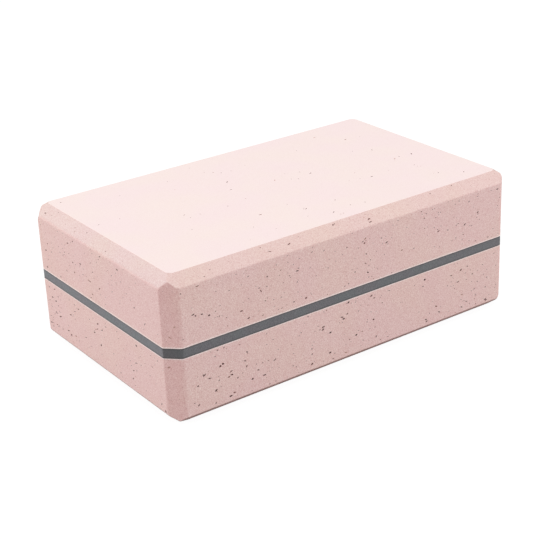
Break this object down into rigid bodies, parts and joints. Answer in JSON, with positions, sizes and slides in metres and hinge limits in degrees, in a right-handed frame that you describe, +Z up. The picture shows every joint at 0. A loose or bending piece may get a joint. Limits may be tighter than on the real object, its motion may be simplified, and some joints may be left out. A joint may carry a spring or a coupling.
{
  "type": "yoga block",
  "caption": "Rectangular flecked foam yoga block with bevelled rims, chamfered corners and a thin contrasting foam layer laminated through its mid-height.",
  "frame": {"origin": "middle of the bottom face, on which the block rests", "axes": "+X along the length, +Y across the width, +Z up through the layers"},
  "size_m": [0.23, 0.14, 0.0826],
  "materials": {
    "flecked_foam": "matte pale pink closed-cell foam with brown flecks",
    "stripe_foam": "matte dark grey closed-cell foam",
    "glue": "thin dried adhesive, pale"
  },
  "bodies": {
    "root": {"lower_foam_slab": "flecked_foam", "lower_glue_film": "glue", "centre_stripe": "stripe_foam", "upper_glue_film": "glue", "upper_foam_slab": "flecked_foam"}
  },
  "joints": []
}
